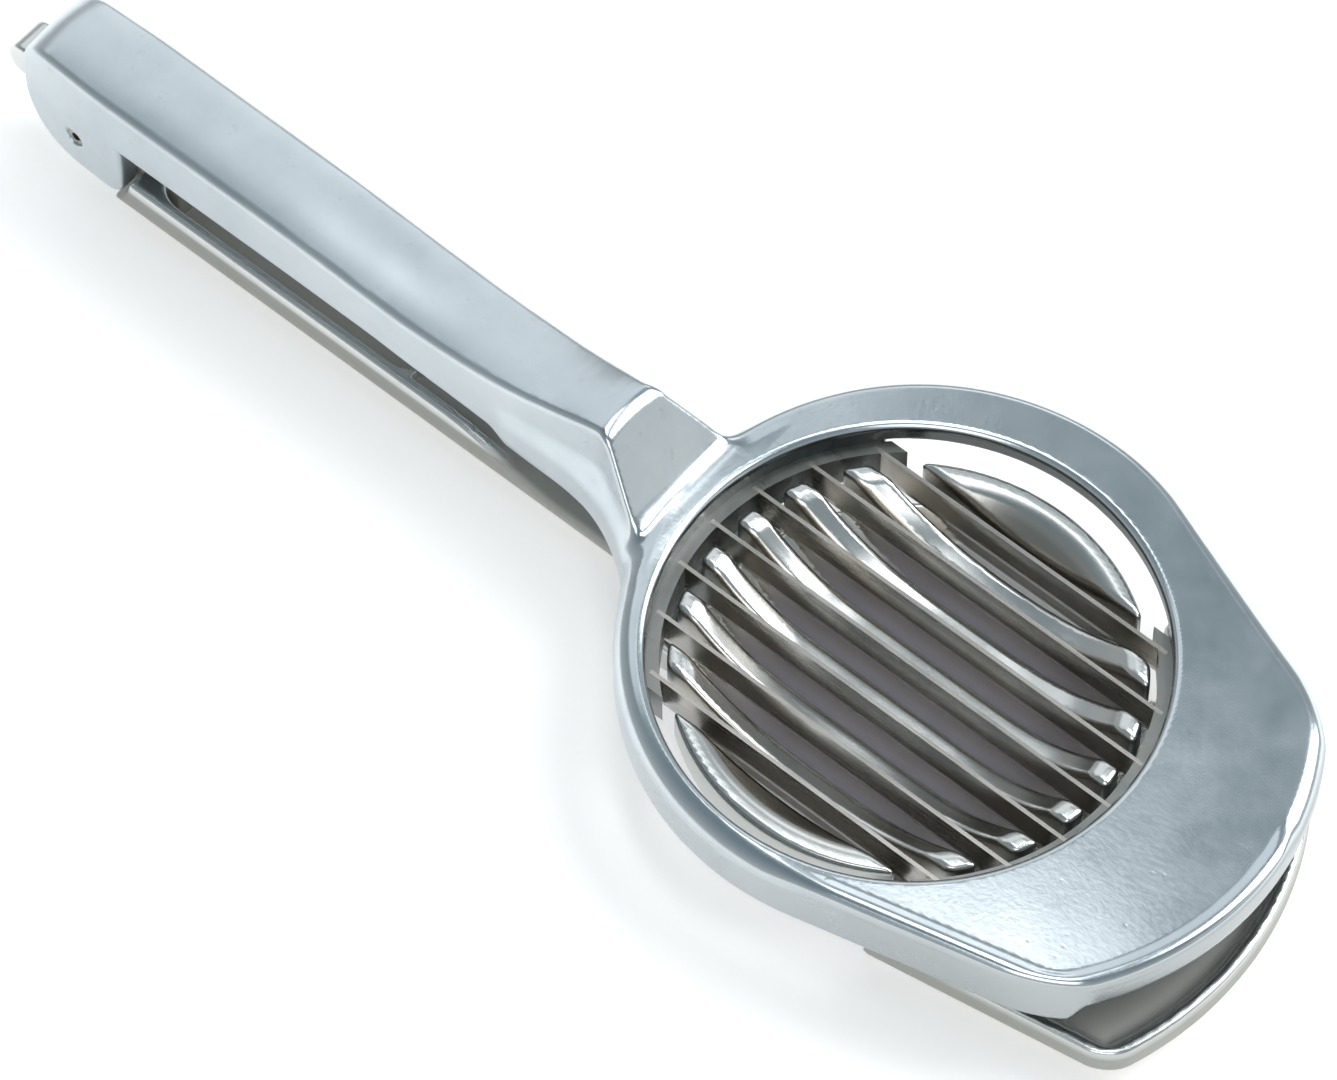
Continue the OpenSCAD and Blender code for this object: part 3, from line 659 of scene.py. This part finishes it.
def paint_wall_shade_and_dull(mat, tone, at, shade_amounts, bore_shade_tone, dull, handle_dull):
    """Painted shade on the side walls, by a strength read along x between the places at, and darker painted
    shade in the bore; the walls are also made duller.
    """
    tree, shader, place, facing = places(mat)
    wall = remap(tree, size_of(tree, facing["Z"]), WALL_FACING, FADE_OUT)
    shade_amount = remap(tree, place["X"], metres(at, EYE_X), shade_amounts)
    in_bore = remap(tree, from_centre(tree, place), metres(BORE_R, EYE_R), FADE_OUT)
    base = shader.inputs["Base Color"].links[0].from_socket
    # Painted shade: side walls darkened, more toward the tip, and the walls of the bore darker still.
    base = blend(tree, times(tree, wall, shade_amount), base, tone)
    base = blend(tree, times(tree, wall, in_bore), base, bore_shade_tone)
    tree.links.new(base, shader.inputs["Base Color"])
    rough = shader.inputs["Roughness"].links[0].from_socket
    handle = remap(tree, place["X"], metres(HANDLE_X, EYE_X), (handle_dull, 0.0))
    rough = plus(tree, rough, plus(tree, handle, times(tree, wall, dull)))
    tree.links.new(rough, shader.inputs["Roughness"])


def paint_dish_shade_and_dull(mat, slot_wall_shade, hollow_shade, slot_floor_shade, tray_floor_shade):
    """Painted shade: darkens the dish's slot walls, its outer hollows, the slots' floors and the tray's
    floor, and dulls the two floors.
    """
    tree, shader, place, facing = places(mat)
    radius = from_centre(tree, place)
    inside = remap(tree, radius, metres(DISH_INSIDE_R), FADE_OUT)
    walls = times(tree, remap(tree, size_of(tree, facing["Y"]), RIB_FACING), inside)
    beside = remap(tree, size_of(tree, place["Y"]), metres(CRESCENT_Y))
    below = remap(tree, place["Z"], metres(CRESCENT_Z), FADE_OUT)
    hollows = times(tree, times(tree, beside, below), inside)
    floors = times(tree, remap(tree, place["Z"], metres(SLOT_FLOOR_Z), FADE_OUT), inside)
    tray = times(tree, remap(tree, radius, metres(TRAY_FLOOR_R)),
                 remap(tree, place["Z"], metres(TRAY_FLOOR_Z), FADE_OUT))
    base = shader.inputs["Base Color"].links[0].from_socket
    for fac, tone in ((walls, slot_wall_shade), (hollows, hollow_shade), (floors, slot_floor_shade), (tray, tray_floor_shade)):
        base = blend(tree, fac, base, tone)
    tree.links.new(base, shader.inputs["Base Color"])
    rough = shader.inputs["Roughness"].links[0].from_socket
    rough = plus(tree, rough, times(tree, tray, TRAY_DULL))
    rough = plus(tree, rough, times(tree, floors, FLOOR_DULL))
    tree.links.new(rough, shader.inputs["Roughness"])


def bright_steel(name, light, dark, warm, rough):
    """Rolled steel strip with faint lengthwise lines and warm discoloured patches."""
    mat, tree, shader, coord = new_material(name)
    shader.inputs["Metallic"].default_value = 1.0
    lines = noise(tree, coord, scale=900.0, detail=3.0, rough=0.6, stretch=(0.04, 1.0, 1.0))
    cloud = noise(tree, coord, scale=70.0, detail=4.0, rough=0.6)
    tone = ramp(tree, cloud, [(0.3, dark), (0.55, light), (0.75, warm)])
    tree.links.new(tone, shader.inputs["Base Color"])
    tree.links.new(remap(tree, lines, LINE_RANGE, rough), shader.inputs["Roughness"])
    tree.links.new(bump(tree, lines, distance=0.00003, strength=0.12), shader.inputs["Normal"])
    return mat


upper_mat = cast_aluminium("cast_upper", light=(0.74, 0.80, 0.83), dark=(0.58, 0.64, 0.68),
                           rough=(0.14, 0.22))
# Painted shade on the upper casting's side walls and a dark painted shade in its bore.
paint_wall_shade_and_dull(upper_mat, tone=(0.36, 0.38, 0.38), at=(-42.0, 42.0), shade_amounts=(0.15, 0.85),
           bore_shade_tone=(0.16, 0.17, 0.17), dull=0.08, handle_dull=0.14)
lower_mat = cast_aluminium("cast_lower", light=(0.80, 0.81, 0.80), dark=(0.69, 0.71, 0.70),
                           rough=(0.18, 0.28))
# Painted shade on the lower casting's side walls and, lighter, on its steep faces inside the opening's
# radius.
paint_wall_shade_and_dull(lower_mat, tone=(0.36, 0.38, 0.36), at=(-42.0, 20.0), shade_amounts=(0.0, 0.68),
           bore_shade_tone=(0.62, 0.63, 0.61), dull=0.10, handle_dull=0.02)
# Painted shade in the dish's slots and on their floors, in the hollows under the ring, and on the tray's
# floor.
paint_dish_shade_and_dull(lower_mat, slot_wall_shade=(0.66, 0.63, 0.57), hollow_shade=(0.40, 0.38, 0.34),
        slot_floor_shade=(0.74, 0.73, 0.77), tray_floor_shade=(0.50, 0.50, 0.47))
blade_mat = bright_steel("blade_steel", light=(0.50, 0.48, 0.45), dark=(0.36, 0.34, 0.31),
                         warm=(0.46, 0.41, 0.35), rough=(0.20, 0.30))
# The seat bands' steel is painted dark: painted shade on the wall of the opening they line.
shaded_band_mat = bright_steel("band_steel_painted_shade", light=(0.27, 0.28, 0.27), dark=(0.17, 0.18, 0.17),
                        warm=(0.25, 0.24, 0.22), rough=(0.26, 0.38))
pin_mat = bright_steel("pin_steel", light=(0.42, 0.41, 0.40), dark=(0.28, 0.27, 0.27),
                       warm=(0.36, 0.33, 0.30), rough=(0.25, 0.40))

# ---------------------------------------------------------------- pieces
casting("upper_casting", upper_field, UPPER_BOX, UPPER_STEP, "upper_arm", "upper_frame", upper_mat)
casting("lower_casting", lower_field, LOWER_BOX, LOWER_STEP, "lower_arm", "lower_cradle", lower_mat)
for name, node in frame["nodes"].items():
    if name.startswith("blade_"):
        mat = shaded_band_mat if "seat" in name else blade_mat
    elif name == "hinge_pin":
        mat = pin_mat
    else:
        continue
    node.data.materials.clear()
    node.data.materials.append(mat)

# ---------------------------------------------------------------- floor
FLOOR_HALF, FLOOR_GLOW = 6.0, 0.34
FLOOR_DARK, FLOOR_LIGHT = (0.94, 0.93, 0.92), (0.96, 0.95, 0.94)
floor_mat, tree, shader, coord = new_material("floor")
shader.inputs["Roughness"].default_value = 0.9
shader.inputs["Specular IOR Level"].default_value = 0.0
shader.inputs["Emission Color"].default_value = (1.0, 1.0, 1.0, 1.0)
shader.inputs["Emission Strength"].default_value = FLOOR_GLOW
tone = ramp(tree, noise(tree, coord, scale=2.0), [(0.3, FLOOR_DARK), (0.7, FLOOR_LIGHT)])
tree.links.new(tone, shader.inputs["Base Color"])
mesh = bpy.data.meshes.new("floor")
corners = [(a * FLOOR_HALF, b * FLOOR_HALF, 0) for a, b in ((-1, -1), (1, -1), (1, 1), (-1, 1))]
mesh.from_pydata(corners, [], [(0, 1, 2, 3)])
mesh.materials.append(floor_mat)
floor = bpy.data.objects.new("floor", mesh)
bpy.context.scene.collection.objects.link(floor)

# ---------------------------------------------------------------- camera
AZIMUTH, ELEVATION, ROLL = math.radians(40.77), math.radians(57.68), math.radians(-0.26)
DISTANCE = 0.8807
AIM_X, AIM_Y = -30.2, -6.7
LENS, SENSOR = 207.4, 36.0
scene = bpy.context.scene
target = Vector(((EYE_X + AIM_X) * MM, AIM_Y * MM, RING_TOP * MM))
flat = Vector((-math.sin(AZIMUTH), math.cos(AZIMUTH), 0.0))
right = Vector((math.cos(AZIMUTH), math.sin(AZIMUTH), 0.0))
forward = flat * math.cos(ELEVATION) - Vector((0, 0, math.sin(ELEVATION)))
level_up = right.cross(forward)
across = right * math.cos(ROLL) + level_up * math.sin(ROLL)
up = level_up * math.cos(ROLL) - right * math.sin(ROLL)
camera = bpy.data.cameras.new("camera")
camera.sensor_fit = "HORIZONTAL"
camera.sensor_width = SENSOR
camera.lens = LENS
camera.clip_start = 0.05
camera.clip_end = 30.0
eye = bpy.data.objects.new("camera", camera)
turn = Matrix((across, up, -forward)).transposed().to_4x4()
eye.matrix_world = Matrix.Translation(target - forward * DISTANCE) @ turn
scene.collection.objects.link(eye)
scene.camera = eye

# ---------------------------------------------------------------- light
SKY_STRENGTH, SKY_RANGE = 0.74, (-0.2, 1.0)
SKY = [(0.0, (0.80, 0.81, 0.82)), (0.30, (0.60, 0.62, 0.62)),
       (0.6, (0.42, 0.47, 0.50)), (1.0, (0.21, 0.28, 0.32))]
world = bpy.data.worlds.new("studio")
scene.world = world
world.use_nodes = True
tree = world.node_tree
tree.nodes.clear()
out = tree.nodes.new("ShaderNodeOutputWorld")
back = tree.nodes.new("ShaderNodeBackground")
coord = tree.nodes.new("ShaderNodeTexCoord")
split = tree.nodes.new("ShaderNodeSeparateXYZ")
tree.links.new(coord.outputs["Generated"], split.inputs[0])
sky = ramp(tree, remap(tree, split.outputs["Z"], SKY_RANGE), SKY)
tree.links.new(sky, back.inputs["Color"])
back.inputs["Strength"].default_value = SKY_STRENGTH
tree.links.new(back.outputs[0], out.inputs[0])

# Overhead point that the ring's level top mirrors to the camera, and the panels' power in watts
# per square metre
MIRROR = Vector((-0.180, 0.293, 0.62))
PANEL_POWER = 4.0


def lamp_object(name, size, power):
    """A rectangular lamp, not yet placed."""
    lamp = bpy.data.lights.new(name, "AREA")
    lamp.shape = "RECTANGLE"
    lamp.size, lamp.size_y = size
    lamp.energy = power
    obj = bpy.data.objects.new(name, lamp)
    scene.collection.objects.link(obj)
    return obj


def area(name, place, aim, size, power, colour=(1, 1, 1)):
    """A lamp at a place, turned toward the point it is aimed at."""
    obj = lamp_object(name, size, power)
    obj.data.color = colour
    obj.location = place
    obj.rotation_euler = (Vector(aim) - Vector(place)).to_track_quat("-Z", "Y").to_euler()


def panel(name, beside, behind, glow):
    """Flat overhead panel that the level faces mirror. It is hidden from the camera itself.

    It is measured in metres from MIRROR: beside runs to the camera's left, behind away from it."""
    size = beside[1] - beside[0], behind[1] - behind[0]
    obj = lamp_object(name, size, glow * PANEL_POWER * size[0] * size[1])
    obj.location = MIRROR - right * (sum(beside) / 2) + flat * (sum(behind) / 2)
    obj.rotation_euler = (0, 0, AZIMUTH)
    obj.visible_camera = False


area("key", place=(0.75, 1.0, 0.9), aim=(0.02, 0, 0.01), size=(0.9, 0.9), power=9.5)
area("top", place=(0.28, 0.44, 0.88), aim=(0.04, 0, 0), size=(0.55, 0.28), power=2.6)
area("front", place=(0.6, -1.0, 1.1), aim=(0, 0, 0), size=(1.0, 1.0), power=5.5)
area("neck", place=(1.25, 0.60, 0.46), aim=(0.0, 0, 0.02), size=(1.0, 0.5), power=0.42,
     colour=(1.0, 0.98, 0.94))
panel("back_panel", beside=(-0.01, 0.60), behind=(0.035, 0.90), glow=0.46)
panel("far_panel", beside=(-0.35, -0.01), behind=(0.08, 0.32), glow=0.10)
panel("arm_panel", beside=(-0.35, -0.01), behind=(0.32, 0.90), glow=0.80)
panel("left_panel", beside=(0.04, 0.60), behind=(-0.065, 0.03), glow=0.46)
panel("front_panel", beside=(-0.06, 0.11), behind=(-0.45, -0.068), glow=2.2)
scene.view_settings.view_transform = "Standard"
